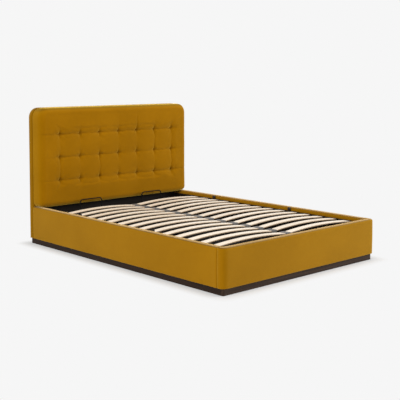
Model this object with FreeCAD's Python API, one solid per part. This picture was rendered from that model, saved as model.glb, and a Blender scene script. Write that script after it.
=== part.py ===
import FreeCAD, Part
import math
import os

# Ottoman bed with an upholstered base, a tufted headboard and a lifting slatted platform.
# X runs across the bed, +Y towards the headboard, +Z up. The origin lies on the floor under
# the middle of the bed. All lengths are in millimetres.

# Whole bed
bed_width = 1490.0
bed_length = 2140.0
headboard_height = 1048.0
rail_top_height = 288.0
rail_thickness = 58.0
cover_thickness = 5.0
rail_edge_radius = 9.0
foot_corner_radius = 40.0

# Plinth
plinth_height = 44.0
plinth_inset = 16.0
plinth_back_inset = 4.0
plinth_thickness = 18.0
plinth_corner_radius = 12.0

# Headboard backing panel
backing_depth = 51.0
backing_corner_radius = 75.0
backing_edge_radius = 12.0

# Tufted pad on the front of the backing
pad_depth = 116.0
pad_side_inset = 12.0
pad_top_inset = 1.0
pad_rail_gap = 3.0
pad_top_corner_radius = 74.0
pad_bottom_corner_radius = 38.0
pad_edge_radius = 34.0
tuft_columns = 7
tuft_rows = 3
tuft_pitch_across = 187.7
tuft_top_drop = 206.0
tuft_pitch_down = 177.5
tuft_depth = 20.0
tuft_row_fold_depth = 7.0
tuft_column_fold_depth = 7.0
soft_gap = 0.3

# Storage floor
floor_panel_thickness = 9.0
floor_panel_gap = 1.0
batten_width = 35.0
batten_height = 20.0
batten_drop = 2.0
bearer_width = 60.0
bearer_foot_length = 90.0
bearer_foot_shares = (-0.8, 0.0, 0.8)
liner_thickness = 10.0
liner_drop = 6.0

# Corner brackets and their bolts
corner_leg = 42.0
corner_height = 110.0
corner_thickness = 4.0
corner_lift = 40.0
corner_bolt_shares = (0.25, 0.75)
corner_bolt_leg_share = 0.6
bolt_radius = 3.0
bolt_head_radius = 6.5
bolt_head_height = 3.5
bolt_grip = 24.0
bolt_clearance = 0.2

# Platform frame
frame_drop = 38.0
frame_side_gap = 14.0
frame_foot_gap = 12.0
frame_head_setback = 200.0
tube_width = 25.0
tube_height = 28.0
tube_wall = 1.5
tube_cap_thickness = 2.0
tube_cap_plug = 12.0
cross_shares = (0.34, 0.67)

# Bowed slats and their holders
slat_count = 14
slat_width = 53.0
slat_thickness = 8.0
slat_rise = 18.0
slat_edge_radius = 2.5
slat_head_margin = 171.0
slat_foot_margin = 111.0
slat_end_inset = 5.0
slat_centre_gap = 16.0
holder_wall = 4.0
holder_floor = 3.0
holder_roof = 2.5
holder_side_length = 14.0
holder_centre_length = 46.0
holder_edge_radius = 2.0
holder_clearance = 0.15

# Wire hoops that stop the mattress at the head end
hoop_wire_radius = 4.0
hoop_centre_offset = 307.0
hoop_width = 211.0
hoop_top_rise = 78.0
hoop_leg_drop = 26.0
hoop_corner_radius = 22.0
hoop_clamp_width = 26.0
hoop_clamp_height = 22.0
hoop_clamp_wall = 3.0
hoop_clamp_drop = 2.0
hoop_clearance = 0.1

# Side buffers on the frame
buffer_length = 16.0
buffer_rail_gap = 3.0
buffer_overlap = 14.0
buffer_rise = 40.0
buffer_hang = 20.0
buffer_edge_radius = 5.0
buffer_row_shares = (1.68, 8.47)

# Rests that carry the closed platform at the foot
rest_offset = 450.0
rest_width = 50.0
rest_leg = 34.0
rest_height = 48.0
rest_thickness = 4.0
rest_pad_radius = 11.0
rest_pad_height = 7.0
rest_gap = 0.3

# Lift mechanism. Pivots are given as the distance in front of the back of the headboard and,
# upright, as the drop below the underside of the platform frame or the height above the
# storage floor.
arm_base_setback = 572.1
arm_base_drop = 32.0
arm_top_setback = 327.5
arm_top_drop = 17.0
link_base_setback = 688.9
link_base_height = 53.4
link_top_setback = 363.0
link_top_drop = 65.3
strut_base_setback = 447.6
strut_base_height = 23.0
strut_top_setback = 263.4
strut_top_drop = 47.4
lift_plate_thickness = 5.0
lift_plate_margin = 16.0
lift_plate_corner_radius = 10.0
lift_screw_radius = 3.0
lift_screw_head_radius = 6.0
lift_screw_head_depth = 3.0
lift_screw_shares = ((0.07, 0.85), (0.30, 0.12), (0.30, 0.58), (0.65, 0.12), (0.72, 0.52), (0.93, 0.85))
arm_gap = 1.0
arm_thickness = 5.0
arm_half_width = 14.0
pin_radius = 5.0
pin_clearance = 0.05
pin_head_radius = 9.0
pin_head_height = 1.5
pin_head_gap = 0.3
open_pivot_clearance = 2.0
bracket_thickness = 5.0
bracket_margin = 16.0
bracket_bolt_shares = (0.2, 0.8)
bracket_bolt_gap = 1.0

# Gas struts
strut_gap = 1.7
strut_tube_radius = 11.0
strut_tube_wall = 2.5
strut_tube_length = 132.0
strut_tube_offset = 16.0
strut_gland_length = 12.0
strut_rod_radius = 4.5
strut_piston_length = 12.0
strut_piston_offset = 28.0
strut_piston_gap = 0.1
strut_eye_radius = 10.0
strut_eye_width = 14.0
strut_neck_radius = 7.0
strut_neck_length = 18.0
strut_pin_radius = 4.0
strut_boss_radius = 7.5
strut_boss_gap = 0.5

# Room that a cut runs past a face, and how near two places count as the same
overrun = 1.0
near = 0.01

half_width = bed_width / 2
head_y = bed_length / 2
foot_y = -bed_length / 2
rail_inner_x = half_width - rail_thickness
foot_inner_y = foot_y + rail_thickness
foot_seam_y = foot_inner_y - cover_thickness
backing_front_y = head_y - backing_depth
rail_bottom = plinth_height
core_top = rail_top_height - cover_thickness
core_edge_radius = rail_edge_radius - cover_thickness

frame_top = rail_top_height - frame_drop
frame_bottom = frame_top - tube_height
frame_outer_x = rail_inner_x - frame_side_gap
frame_inner_x = frame_outer_x - tube_width
frame_head_y = head_y - frame_head_setback
frame_foot_y = foot_inner_y + frame_foot_gap

batten_top = plinth_height - batten_drop
batten_bottom = batten_top - batten_height
plinth_inner_x = half_width - plinth_inset - plinth_thickness
floor_panel_top = batten_top + floor_panel_thickness
liner_front_y = backing_front_y - liner_thickness

across_axis = FreeCAD.Vector(1, 0, 0)
along_axis = FreeCAD.Vector(0, 1, 0)
up_axis = FreeCAD.Vector(0, 0, 1)
centre = FreeCAD.Vector(0, 0, 0)


def point(x, y, z):
    return FreeCAD.Vector(x, y, z)


def box(x0, x1, y0, y1, z0, z1):
    return Part.makeBox(x1 - x0, y1 - y0, z1 - z0, point(x0, y0, z0))


def mirrored(shape):
    return shape.mirror(centre, across_axis)


def both(shape):
    return [shape, mirrored(shape)]


def save(name, *solids):
    shape = solids[0] if len(solids) == 1 else Part.makeCompound(list(solids))
    shape.exportStep("parts/" + name + ".step")


def save_pair(name, *solids):
    save(name + "_left", *solids)
    save(name + "_right", *[mirrored(solid) for solid in solids])


def same(a, b):
    return abs(a - b) < near


def rounded(shape, radius, wanted):
    edges = [edge for edge in shape.Edges if wanted(edge.Vertexes[0].Point, edge.Vertexes[-1].Point)]
    return shape.makeFillet(radius, edges)


def prism(corners, along):
    return Part.Face(Part.makePolygon(corners + [corners[0]])).extrude(along)


# Depths are measured from the inner face of the left rail towards the middle of the bed
def depth_x(depth):
    return depth - rail_inner_x


def across(depth0, depth1, place, radius):
    start = point(depth_x(depth0), place[0], place[1])
    return Part.makeCylinder(radius, depth1 - depth0, start, across_axis)


# Side rails: a board wrapped on its outside, top and inside by the padded cover
def rail_profile(x0, x1, y0, y1, top, radius):
    block = box(x0, x1, y0, y1, rail_bottom, top)
    return rounded(block, radius, lambda a, b: same(a.z, top) and same(b.z, top) and same(a.x, b.x))


def side_rail():
    core = rail_profile(-half_width + cover_thickness, -rail_inner_x - cover_thickness,
                        foot_seam_y, backing_front_y, core_top, core_edge_radius)
    block = rail_profile(-half_width, -rail_inner_x, foot_seam_y, backing_front_y,
                         rail_top_height, rail_edge_radius)
    return core, block.cut(core)


# Foot rail: its cover wraps round both foot corners and ends at a seam on each side
def foot_block(inset, top, corner_radius, edge_radius, back_too):
    front_y = foot_y + inset
    side_x = half_width - inset
    block = box(-side_x, side_x, front_y, foot_seam_y, rail_bottom, top)
    block = rounded(block, corner_radius,
                    lambda a, b: same(a.x, b.x) and same(a.y, front_y) and same(b.y, front_y))
    return rounded(block, edge_radius,
                   lambda a, b: same(a.z, top) and same(b.z, top)
                   and (back_too or not (same(a.y, foot_seam_y) and same(b.y, foot_seam_y))))


def foot_rail():
    core = foot_block(cover_thickness, core_top, foot_corner_radius - cover_thickness,
                      core_edge_radius, True)
    outline = foot_block(0, rail_top_height, foot_corner_radius, rail_edge_radius, False)
    lip = box(-rail_inner_x, rail_inner_x, foot_seam_y, foot_inner_y, rail_bottom, rail_top_height)
    roll_y = foot_inner_y - rail_edge_radius
    roll_z = rail_top_height - rail_edge_radius
    corner = box(-half_width, half_width, roll_y, foot_inner_y, roll_z, rail_top_height)
    roll = Part.makeCylinder(rail_edge_radius, bed_width, point(-half_width, roll_y, roll_z), across_axis)
    end = rail_profile(-half_width, -rail_inner_x, foot_y, foot_seam_y, rail_top_height, rail_edge_radius)
    ends = [piece.common(outline) for piece in both(end)]
    block = outline.fuse(lip).cut(corner.cut(roll)).fuse(ends).removeSplitter()
    return core, block.cut(core)


# Headboard backing: a board with rounded top corners, wrapped all round but for its bottom edge
def backing_block(inset, corner_radius, edge_radius):
    top = headboard_height - inset
    front_y = backing_front_y + inset
    back_y = head_y - inset
    side_x = half_width - inset
    block = box(-side_x, side_x, front_y, back_y, rail_bottom, top)
    block = rounded(block, corner_radius,
                    lambda a, b: same(a.z, top) and same(b.z, top) and same(a.x, b.x))
    return rounded(block, edge_radius,
                   lambda a, b: same(a.y, b.y) and not (same(a.z, rail_bottom) and same(b.z, rail_bottom)))


def headboard_backing():
    core = backing_block(cover_thickness, backing_corner_radius - cover_thickness,
                         backing_edge_radius - cover_thickness)
    return core, backing_block(0, backing_corner_radius, backing_edge_radius).cut(core)


# Tufted pad: level sections, each a row of shallow arcs that meet at the tuft columns. The
# arcs are deepest on the tuft rows, so the lofted front is drawn in at every tuft.
def pad_section(z, back_y, front_y, side_x, row_fold, column_fold):
    first = -(tuft_columns - 1) * tuft_pitch_across / 2
    places = [(first + number * tuft_pitch_across, front_y + column_fold) for number in range(tuft_columns)]
    places = [(-side_x, front_y + row_fold)] + places + [(side_x, front_y + row_fold)]
    back_left = point(-side_x, back_y, z)
    back_right = point(side_x, back_y, z)
    edges = []
    for (start_x, start_y), (end_x, end_y) in zip(places, places[1:]):
        crown = point((start_x + end_x) / 2, front_y + row_fold, z)
        edges.append(Part.Arc(point(start_x, start_y, z), crown, point(end_x, end_y, z)).toShape())
    edges.append(Part.LineSegment(point(*places[-1], z), back_right).toShape())
    edges.append(Part.LineSegment(back_right, back_left).toShape())
    edges.append(Part.LineSegment(back_left, point(*places[0], z)).toShape())
    return Part.Wire(edges)


def headboard_pad():
    top = headboard_height - pad_top_inset
    bottom = rail_top_height + pad_rail_gap
    back_y = backing_front_y - soft_gap
    front_y = backing_front_y - pad_depth
    side_x = half_width - pad_side_inset
    rows = [headboard_height - tuft_top_drop - number * tuft_pitch_down for number in range(tuft_rows)]
    flat = [top + overrun] + [row + tuft_pitch_down / 2 for row in rows]
    flat += [rows[-1] - tuft_pitch_down / 2, bottom - overrun]
    levels = sorted([(z, 0, tuft_column_fold_depth) for z in flat]
                    + [(z, tuft_row_fold_depth, tuft_depth) for z in rows])
    loft = Part.makeLoft([pad_section(z, back_y, front_y, side_x + overrun, row_fold, column_fold)
                          for z, row_fold, column_fold in levels], True, False)
    block = box(-side_x, side_x, front_y, back_y, bottom, top)
    for edge_z, radius in ((top, pad_top_corner_radius), (bottom, pad_bottom_corner_radius)):
        block = rounded(block, radius,
                        lambda a, b: same(a.z, edge_z) and same(b.z, edge_z) and same(a.x, b.x))
    block = rounded(block, pad_edge_radius, lambda a, b: same(a.y, front_y) and same(b.y, front_y))
    return block.common(loft)


# Plinth: four boards on the floor, the foot one with rounded ends
def plinth():
    outer_x = half_width - plinth_inset
    front_y = foot_y + plinth_inset
    side_front_y = front_y + plinth_thickness
    back_y = head_y - plinth_back_inset
    foot = box(-outer_x, outer_x, front_y, side_front_y, 0, plinth_height)
    foot = rounded(foot, plinth_corner_radius,
                   lambda a, b: same(a.x, b.x) and same(a.y, front_y) and same(b.y, front_y))
    side = box(-outer_x, -plinth_inner_x, side_front_y, back_y, 0, plinth_height)
    head = box(-plinth_inner_x, plinth_inner_x, back_y - plinth_thickness, back_y, 0, plinth_height)
    save_pair("plinth_side", side)
    save("plinth_foot", foot)
    save("plinth_head", head)
    return side_front_y, back_y - plinth_thickness


# Storage floor: two panels on battens and on a centre bearer that stands on blocks
def storage_floor(inner_front_y, inner_back_y, holes):
    batten = box(-plinth_inner_x, batten_width - plinth_inner_x, inner_front_y, inner_back_y,
                 batten_bottom, batten_top)
    panel = box(floor_panel_gap - rail_inner_x, -floor_panel_gap, foot_inner_y + floor_panel_gap,
                backing_front_y - floor_panel_gap, batten_top, floor_panel_top)
    bearer = box(-bearer_width / 2, bearer_width / 2, inner_front_y, inner_back_y,
                 batten_bottom, batten_top)
    feet = []
    for share in bearer_foot_shares:
        foot_centre = share * head_y
        feet.append(box(-bearer_width / 2, bearer_width / 2, foot_centre - bearer_foot_length / 2,
                        foot_centre + bearer_foot_length / 2, 0, batten_bottom))
    liner = box(floor_panel_gap - rail_inner_x, rail_inner_x - floor_panel_gap, liner_front_y,
                backing_front_y, floor_panel_top, rail_top_height - liner_drop)
    save_pair("floor_batten", batten)
    save_pair("floor_panel", panel)
    save("centre_bearer", bearer)
    save("bearer_feet", *feet)
    save("head_liner", liner.cut(holes))


# A bolt whose shank runs along the given direction from the underside of its head
def bolt(seat, direction):
    shank = Part.makeCylinder(bolt_radius, bolt_grip, seat, direction)
    head_top = seat - direction * bolt_head_height
    head = Part.makeCylinder(bolt_head_radius, bolt_head_height, head_top, direction)
    return shank.fuse(head).removeSplitter()


def bolt_hole(seat, direction):
    return Part.makeCylinder(bolt_radius + bolt_clearance, bolt_grip + overrun, seat, direction)


# Corner brackets: an angle in each inner corner, two bolts through each leg
def corner_fixings(end_y, inward):
    x0 = -rail_inner_x
    bottom = floor_panel_top + corner_lift
    side_leg = box(x0, x0 + corner_thickness, *sorted((end_y, end_y + inward * corner_leg)),
                   bottom, bottom + corner_height)
    end_leg = box(x0, x0 + corner_leg, *sorted((end_y, end_y + inward * corner_thickness)),
                  bottom, bottom + corner_height)
    bolts = []
    holes = []
    for share in corner_bolt_shares:
        z = bottom + share * corner_height
        reach = corner_bolt_leg_share * corner_leg
        to_side = (point(x0 + corner_thickness, end_y + inward * reach, z), -across_axis)
        to_end = (point(x0 + reach, end_y + inward * corner_thickness, z), along_axis * -inward)
        for seat, direction in (to_side, to_end):
            bolts.append(bolt(seat, direction))
            holes.append(bolt_hole(seat, direction))
    angle = side_leg.fuse(end_leg).removeSplitter().cut(Part.makeCompound(holes))
    return angle, bolts, holes


# Places of the lift pivots, as (y, z). The lower ends of the link arm and the strut keep
# their height above the storage floor, and the others keep theirs below the platform.
def high_pivot(setback, drop):
    return (head_y - setback, frame_bottom - drop)


def low_pivot(setback, height):
    return (head_y - setback, floor_panel_top + height)


arm_base = high_pivot(arm_base_setback, arm_base_drop)
arm_top = high_pivot(arm_top_setback, arm_top_drop)
link_base = low_pivot(link_base_setback, link_base_height)
link_top = high_pivot(link_top_setback, link_top_drop)
strut_base = low_pivot(strut_base_setback, strut_base_height)
strut_top = high_pivot(strut_top_setback, strut_top_drop)

# The mechanism stands in layers, so that the arms can cross: base plate, lift arm, link arm,
# platform bracket, gas strut
arm_depth0 = lift_plate_thickness + arm_gap
arm_depth1 = arm_depth0 + arm_thickness
link_depth0 = arm_depth1 + pin_head_gap + pin_head_height + arm_gap
link_depth1 = link_depth0 + arm_thickness
bracket_depth0 = link_depth1 + arm_gap
bracket_depth1 = bracket_depth0 + bracket_thickness
strut_depth = bracket_depth1 + pin_head_height + strut_gap + strut_tube_radius
strut_eye_depth0 = strut_depth - strut_eye_width / 2
strut_eye_depth1 = strut_depth + strut_eye_width / 2


# Base plate on the inner face of the rail, with countersunk screws
def lift_plate():
    y0 = link_base[0] - lift_plate_margin
    y1 = strut_base[0] + lift_plate_margin
    z0 = strut_base[1] - lift_plate_margin
    z1 = arm_base[1] + lift_plate_margin
    plate = box(depth_x(0), depth_x(lift_plate_thickness), y0, y1, z0, z1)
    plate = rounded(plate, lift_plate_corner_radius, lambda a, b: same(a.y, b.y) and same(a.z, b.z))
    screws = []
    holes = []
    for share_y, share_z in lift_screw_shares:
        place = (y0 + share_y * (y1 - y0), z0 + share_z * (z1 - z0))
        screws.append(countersunk_screw(place, 0))
        holes.append(countersunk_screw(place, bolt_clearance))
    return plate, screws, holes


def countersunk_screw(place, clearance):
    head_start = lift_plate_thickness - lift_screw_head_depth
    tip = head_start - bolt_grip
    shank = across(tip - clearance, lift_plate_thickness, place, lift_screw_radius + clearance)
    cone = Part.makeCone(lift_screw_radius + clearance, lift_screw_head_radius + clearance,
                         lift_screw_head_depth, point(depth_x(head_start), place[0], place[1]), across_axis)
    return shank.fuse(cone).removeSplitter()


# A flat bar with round ends and one hole at each end
def flat_bar(start, end, depth0, depth1, start_hole, end_hole):
    length = math.hypot(end[0] - start[0], end[1] - start[1])
    angle = math.degrees(math.atan2(end[1] - start[1], end[0] - start[0]))
    x0 = depth_x(depth0)
    bar = Part.makeBox(depth1 - depth0, length, arm_half_width + arm_half_width,
                       point(x0, start[0], start[1] - arm_half_width))
    bar.rotate(point(x0, start[0], start[1]), across_axis, angle)
    for place in (start, end):
        bar = bar.fuse(across(depth0, depth1, place, arm_half_width))
    bar = bar.removeSplitter()
    for place, hole in ((start, start_hole), (end, end_hole)):
        bar = bar.cut(across(depth0 - overrun, depth1 + overrun, place, hole))
    return bar


# A stepped pin: the shank, a shoulder that spaces what turns on it, and a head
def stepped_pin(place, radius, shank, shoulder, head, head_radius):
    pin = across(*shank, place, radius)
    pin = pin.fuse(across(*head, place, head_radius))
    if shoulder:
        pin = pin.fuse(across(*shoulder, place, strut_boss_radius))
    return pin.removeSplitter()


def head_past(depth):
    return (depth + pin_head_gap, depth + pin_head_gap + pin_head_height)


# Pins fixed in the base plate. Each has its head past the arm or strut eye that turns on it.
def base_pins():
    arm_head = head_past(arm_depth1)
    link_head = head_past(link_depth1)
    strut_head = head_past(strut_eye_depth1)
    link_shoulder = (lift_plate_thickness, link_depth0 - strut_boss_gap)
    strut_shoulder = (lift_plate_thickness, strut_eye_depth0 - strut_boss_gap)
    return [stepped_pin(arm_base, pin_radius, (0, arm_head[0]), None, arm_head, pin_head_radius),
            stepped_pin(link_base, pin_radius, (0, link_head[0]), link_shoulder, link_head, pin_head_radius),
            stepped_pin(strut_base, strut_pin_radius, (0, strut_head[0]), strut_shoulder, strut_head,
                        strut_boss_radius)]


# Bracket under the side tube of the platform: a flange and a plate that carries three pivots
def platform_bracket():
    y0 = link_top[0] - bracket_margin
    y1 = strut_top[0] + bracket_margin
    flange_z = frame_bottom - bracket_thickness
    x0 = depth_x(bracket_depth0)
    corners = [point(x0, y0, frame_bottom), point(x0, y0, link_top[1] - bracket_margin),
               point(x0, link_top[0] + bracket_margin, link_top[1] - bracket_margin),
               point(x0, y1, strut_top[1] - bracket_margin), point(x0, y1, frame_bottom)]
    web = prism(corners, across_axis * bracket_thickness)
    flange = box(x0, -frame_inner_x, y0, y1, flange_z, frame_bottom)
    bolts = []
    holes = []
    bolt_x = depth_x(bracket_depth1 + bracket_bolt_gap + bolt_head_radius)
    for share in bracket_bolt_shares:
        seat = point(bolt_x, y0 + share * (y1 - y0), flange_z)
        bolts.append(bolt(seat, up_axis))
        holes.append(bolt_hole(seat, up_axis))
    return web.fuse(flange).removeSplitter(), bolts, holes


# Pins fixed in the platform bracket
def platform_pins():
    inner_head = (bracket_depth1, bracket_depth1 + pin_head_height)
    strut_head = head_past(strut_eye_depth1)
    arm_shoulder = (arm_depth1 + strut_boss_gap, bracket_depth0)
    strut_shoulder = (bracket_depth1, strut_eye_depth0 - strut_boss_gap)
    return [stepped_pin(arm_top, pin_radius, (arm_depth0, bracket_depth1), arm_shoulder, inner_head,
                        pin_head_radius),
            stepped_pin(link_top, pin_radius, (link_depth0, bracket_depth1), None, inner_head,
                        pin_head_radius),
            stepped_pin(strut_top, strut_pin_radius, (bracket_depth0, strut_head[0]), strut_shoulder,
                        strut_head, strut_boss_radius)]


# Gas strut, drawn lying along +Y from its lower pivot and then turned to its closed angle
def strut_eye(y, hole):
    x0 = -strut_eye_width / 2
    ring = Part.makeCylinder(strut_eye_radius, strut_eye_width, point(x0, y, 0), across_axis)
    through = strut_eye_width + overrun + overrun
    bore = Part.makeCylinder(hole, through, point(x0 - overrun, y, 0), across_axis)
    return ring, bore


def round_bar(radius, y0, y1):
    return Part.makeCylinder(radius, y1 - y0, point(0, y0, 0), along_axis)


def placed_strut(shape):
    angle = math.degrees(math.atan2(strut_top[1] - strut_base[1], strut_top[0] - strut_base[0]))
    shape.rotate(centre, across_axis, angle)
    shape.translate(point(depth_x(strut_depth), strut_base[0], strut_base[1]))
    return shape


def strut_cylinder():
    ring, bore = strut_eye(0, strut_pin_radius + pin_clearance)
    tube_end = strut_tube_offset + strut_tube_length
    inside = strut_tube_radius - strut_tube_wall
    neck = round_bar(strut_neck_radius, 0, strut_tube_offset + strut_tube_wall)
    body = round_bar(strut_tube_radius, strut_tube_offset, tube_end)
    body = body.cut(round_bar(inside, strut_tube_offset + strut_tube_wall, tube_end - strut_gland_length))
    body = body.cut(round_bar(strut_rod_radius + pin_clearance, tube_end - strut_gland_length - overrun,
                              tube_end + overrun))
    return placed_strut(body.fuse(neck).fuse(ring).cut(bore).removeSplitter())


def strut_rod():
    length = math.hypot(strut_top[0] - strut_base[0], strut_top[1] - strut_base[1])
    ring, bore = strut_eye(length, strut_pin_radius + open_pivot_clearance)
    piston_radius = strut_tube_radius - strut_tube_wall - strut_piston_gap
    piston = round_bar(piston_radius, strut_piston_offset, strut_piston_offset + strut_piston_length)
    rod = round_bar(strut_rod_radius, strut_piston_offset, length)
    neck = round_bar(strut_neck_radius, length - strut_eye_radius - strut_neck_length, length)
    return placed_strut(piston.fuse(rod).fuse(neck).fuse(ring).cut(bore).removeSplitter())


# Rectangular steel tube
def tube(x0, x1, y0, y1, runs_across):
    outer = box(x0, x1, y0, y1, frame_bottom, frame_top)
    inner_z0 = frame_bottom + tube_wall
    inner_z1 = frame_top - tube_wall
    if runs_across:
        return outer.cut(box(x0 - overrun, x1 + overrun, y0 + tube_wall, y1 - tube_wall, inner_z0, inner_z1))
    return outer.cut(box(x0 + tube_wall, x1 - tube_wall, y0 - overrun, y1 + overrun, inner_z0, inner_z1))


# Plastic cap in the open end of a side tube
def tube_cap(end_y, inward):
    plate = box(-frame_outer_x, -frame_inner_x, *sorted((end_y, end_y - inward * tube_cap_thickness)),
                frame_bottom, frame_top)
    plug = box(tube_wall - frame_outer_x, -frame_inner_x - tube_wall,
               *sorted((end_y, end_y + inward * tube_cap_plug)),
               frame_bottom + tube_wall, frame_top - tube_wall)
    return plate.fuse(plug).removeSplitter()


# A slat bows upwards between its two ends: a round-edged section turned about an axis far
# below the bed. Clearance makes the larger copy that cuts the holder pockets.
slat_x0 = slat_end_inset - frame_outer_x
slat_x1 = -slat_centre_gap / 2
slat_end_z = frame_top + holder_floor + slat_thickness / 2
slat_first_y = frame_head_y - slat_head_margin
slat_last_y = frame_foot_y + slat_foot_margin
slat_pitch = (slat_first_y - slat_last_y) / (slat_count - 1)
slat_half_span = (slat_x1 - slat_x0) / 2
slat_bow_radius = (slat_half_span ** 2 + slat_rise ** 2) / (slat_rise + slat_rise)


def slat_section(x, y0, y1, z0, z1, radius):
    bend = radius * (1 - math.sqrt(2) / 2)
    corners = [((y0, z1 - radius), (y0 + bend, z1 - bend), (y0 + radius, z1)),
               ((y1 - radius, z1), (y1 - bend, z1 - bend), (y1, z1 - radius)),
               ((y1, z0 + radius), (y1 - bend, z0 + bend), (y1 - radius, z0)),
               ((y0 + radius, z0), (y0 + bend, z0 + bend), (y0, z0 + radius))]
    edges = []
    for corner, following in zip(corners, corners[1:] + corners[:1]):
        edges.append(Part.Arc(*[point(x, *place) for place in corner]).toShape())
        edges.append(Part.LineSegment(point(x, *corner[-1]), point(x, *following[0])).toShape())
    return Part.Face(Part.Wire(edges))


def slat(y, clearance):
    middle = point((slat_x0 + slat_x1) / 2, 0, slat_end_z + slat_rise - slat_bow_radius)
    crown = slat_end_z + slat_rise
    half_width = slat_width / 2 + clearance
    half_thickness = slat_thickness / 2 + clearance
    face = slat_section(middle.x, y - half_width, y + half_width, crown - half_thickness,
                        crown + half_thickness, slat_edge_radius + clearance)
    angle = math.degrees(math.asin((slat_half_span + clearance) / slat_bow_radius))
    face.rotate(middle, along_axis, -angle)
    return face.revolve(middle, along_axis, angle + angle)


def holder(x0, x1, y, pockets):
    wall = slat_width / 2 + holder_wall
    top = slat_end_z + slat_thickness / 2 + holder_rise(x0, x1) + holder_roof
    block = box(x0, x1, y - wall, y + wall, frame_top, top)
    block = rounded(block, holder_edge_radius,
                    lambda a, b: same(a.z, top) and same(b.z, top))
    for pocket in pockets:
        block = block.cut(pocket)
    return block


# How far the bow has risen at the mouth of a holder
def holder_rise(x0, x1):
    reach = min(abs(x1 - slat_x0), abs(x0 - slat_x1))
    return slat_rise * (1 - (1 - reach / slat_half_span) ** 2)


def slatted_base():
    slats = []
    side_holders = []
    centre_holders = []
    for number in range(slat_count):
        y = slat_first_y - number * slat_pitch
        pocket = slat(y, holder_clearance)
        slats.append(slat(y, 0))
        side_holders.append(holder(-frame_outer_x, holder_side_length - frame_outer_x, y, [pocket]))
        centre_holders.append(holder(-holder_centre_length / 2, holder_centre_length / 2, y, both(pocket)))
    save_pair("slats", *slats)
    save_pair("slat_holders", *side_holders)
    save("slat_holders_centre", *centre_holders)


# Wire hoop: two legs and a top bar joined by bends, held by a clamp on each leg
def hoop_path(x0, x1, y, bottom, top, radius):
    bend = radius * (1 - math.sqrt(2) / 2)
    left = [point(x0, y, top - radius), point(x0 + bend, y, top - bend), point(x0 + radius, y, top)]
    right = [point(x1 - radius, y, top), point(x1 - bend, y, top - bend), point(x1, y, top - radius)]
    edges = [Part.LineSegment(point(x0, y, bottom), left[0]).toShape(), Part.Arc(*left).toShape(),
             Part.LineSegment(left[-1], right[0]).toShape(), Part.Arc(*right).toShape(),
             Part.LineSegment(right[-1], point(x1, y, bottom)).toShape()]
    return Part.Wire(edges)


def mattress_hoop():
    middle = -hoop_centre_offset
    half = hoop_width / 2 - hoop_wire_radius
    y = frame_head_y + hoop_wire_radius + hoop_clearance
    bottom = frame_top - hoop_leg_drop
    top = frame_top + hoop_top_rise - hoop_wire_radius
    path = hoop_path(middle - half, middle + half, y, bottom, top, hoop_corner_radius)
    ring = Part.Wire(Part.makeCircle(hoop_wire_radius, point(middle - half, y, bottom), up_axis))
    wire = path.makePipeShell([ring], True, False)
    clamps = []
    for x in (middle - half, middle + half):
        clamp_top = frame_top - hoop_clamp_drop
        clamp = box(x - hoop_clamp_width / 2, x + hoop_clamp_width / 2, frame_head_y,
                    y + hoop_wire_radius + hoop_clamp_wall, clamp_top - hoop_clamp_height, clamp_top)
        groove = hoop_wire_radius + hoop_clearance
        channel = Part.makeCylinder(groove, hoop_clamp_height + overrun + overrun,
                                    point(x, y, clamp_top - hoop_clamp_height - overrun), up_axis)
        slot = box(x - groove, x + groove, frame_head_y - overrun, y,
                   clamp_top - hoop_clamp_height - overrun, clamp_top + overrun)
        clamps.append(clamp.cut(channel.fuse(slot)))
    return wire, clamps


# Side buffer: a hook of plastic over the side tube that stops the mattress and spaces the rail
def side_buffer(row_share):
    y0 = slat_first_y - row_share * slat_pitch - buffer_length / 2
    y1 = y0 + buffer_length
    x0 = buffer_rail_gap - rail_inner_x
    bottom = frame_top - buffer_hang
    block = box(x0, buffer_overlap - frame_outer_x, y0, y1, bottom, frame_top + buffer_rise)
    block = rounded(block, buffer_edge_radius, lambda a, b: not (same(a.z, bottom) and same(b.z, bottom)))
    return block.cut(box(-frame_outer_x, -frame_inner_x, y0 - overrun, y1 + overrun,
                         frame_bottom, frame_top))


# Rest: a steel angle on the foot rail with a rubber pad under the foot tube
def foot_rest():
    x0 = -rest_offset - rest_width / 2
    x1 = -rest_offset + rest_width / 2
    top = frame_bottom - rest_gap - rest_pad_height
    upright = box(x0, x1, foot_inner_y, foot_inner_y + rest_thickness, top - rest_height, top)
    ledge = box(x0, x1, foot_inner_y, foot_inner_y + rest_leg, top - rest_thickness, top)
    pad_y = frame_foot_y + tube_width / 2
    pad = Part.makeCylinder(rest_pad_radius, rest_pad_height, point(-rest_offset, pad_y, top), up_axis)
    return upright.fuse(ledge).removeSplitter(), pad


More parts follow.
